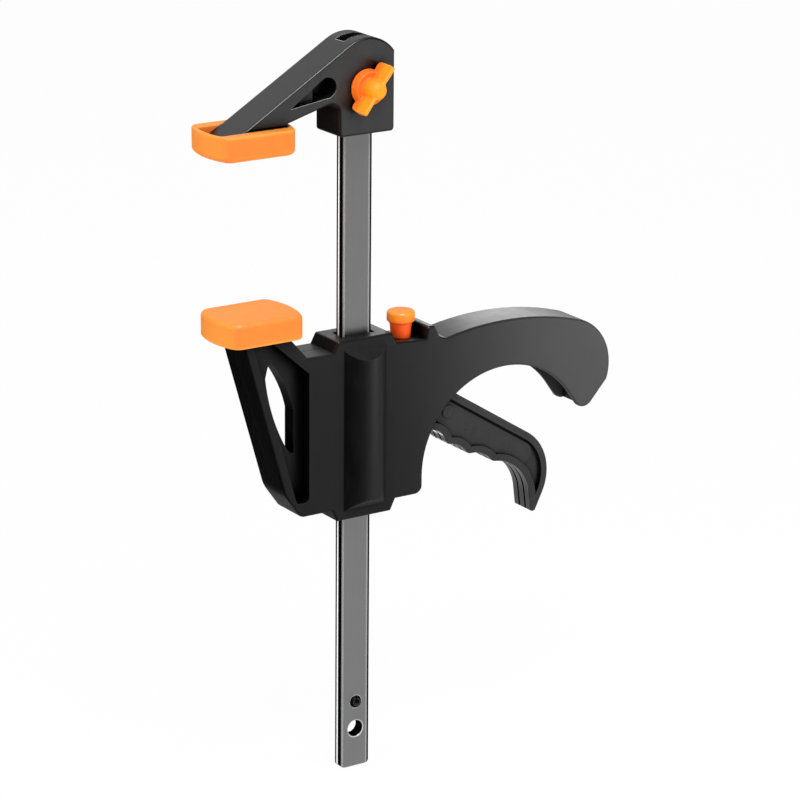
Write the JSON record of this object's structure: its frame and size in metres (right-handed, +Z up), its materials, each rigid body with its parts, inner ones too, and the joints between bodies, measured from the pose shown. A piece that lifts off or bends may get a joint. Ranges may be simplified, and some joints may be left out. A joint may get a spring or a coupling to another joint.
{
  "type": "quick release bar clamp",
  "caption": "One-handed bar clamp: a steel bar with a fixed jaw at its end and a sliding jaw with a squeeze trigger, a brake release button and soft cup-shaped pads.",
  "frame": {"origin": "centre of the bar's lower end face", "axes": "+Z up along the bar, +X towards the handle, the jaws reach towards -X, the wing screw is on the -Y side"},
  "size_m": [0.1699, 0.0304, 0.275],
  "materials": {
    "bar_steel": "drawn flat steel, lightly brushed along its length",
    "dark_steel": "black oxide",
    "zinc_steel": "bright zinc",
    "black_nylon": "satin glass-filled nylon",
    "orange_rubber": "soft satin rubber",
    "orange_plastic": "semi-gloss",
    "spring_steel": "oiled spring wire"
  },
  "bodies": {
    "frame": {"bar": "bar_steel", "bar_stop_pin": "dark_steel", "fixed_jaw": "black_nylon", "fixed_jaw_pad": "orange_rubber", "wing_screw_nut": "zinc_steel"},
    "wing_screw": {"wing_screw_head": "orange_plastic", "wing_screw_stud": "zinc_steel"},
    "slider": {"casing_front": "black_nylon", "casing_back": "black_nylon", "casing_screws": "dark_steel", "movable_jaw_pad": "orange_rubber", "trigger_pin": "zinc_steel", "drive_spring": "spring_steel", "brake_spring": "spring_steel"},
    "trigger": {"trigger": "black_nylon"},
    "drive_plates": {"drive_plate_upper": "dark_steel", "drive_plate_lower": "dark_steel", "drive_washer": "zinc_steel"},
    "brake": {"brake_plate": "dark_steel"},
    "release": {"release_button": "orange_plastic"}
  },
  "joints": [
    {"name": "jaw_slide", "type": "slide", "parent": "frame", "child": "slider", "axis": [0, 0, 1], "range_m": [-0.0719, 0.0571]},
    {"name": "trigger_squeeze", "type": "hinge", "parent": "slider", "child": "trigger", "pos_m": [0.021, 0, 0.1405], "axis": [0, -1, 0], "range_deg": [0, 25], "stiffness_Nm_per_rad": 0.4, "springref_deg": -17.19},
    {"name": "plates_travel", "type": "slide", "parent": "slider", "child": "drive_plates", "axis": [0, 0, -1], "range_m": [0, 0.0045], "deforming": ["drive_spring"]},
    {"name": "button_press", "type": "slide", "parent": "slider", "child": "release", "axis": [0, 0, -1], "range_m": [0, 0.002], "stiffness_N_per_m": 600, "springref_m": -0.001},
    {"name": "brake_tilt", "type": "hinge", "parent": "slider", "child": "brake", "pos_m": [-0.008, 0, 0.1565], "axis": [0, 1, 0], "range_deg": [0, 3.6], "deforming": ["brake_spring"]},
    {"name": "wing_turn", "type": "hinge", "parent": "frame", "child": "wing_screw", "pos_m": [0, 0, 0.2576], "axis": [0, -1, 0], "range_deg": [-720, 0]}
  ],
  "couplings": [
    {"joint": "plates_travel", "follows": "trigger_squeeze", "m_per_rad": 0.0101},
    {"joint": "brake_tilt", "follows": "button_press", "rad_per_m": 30.1}
  ]
}
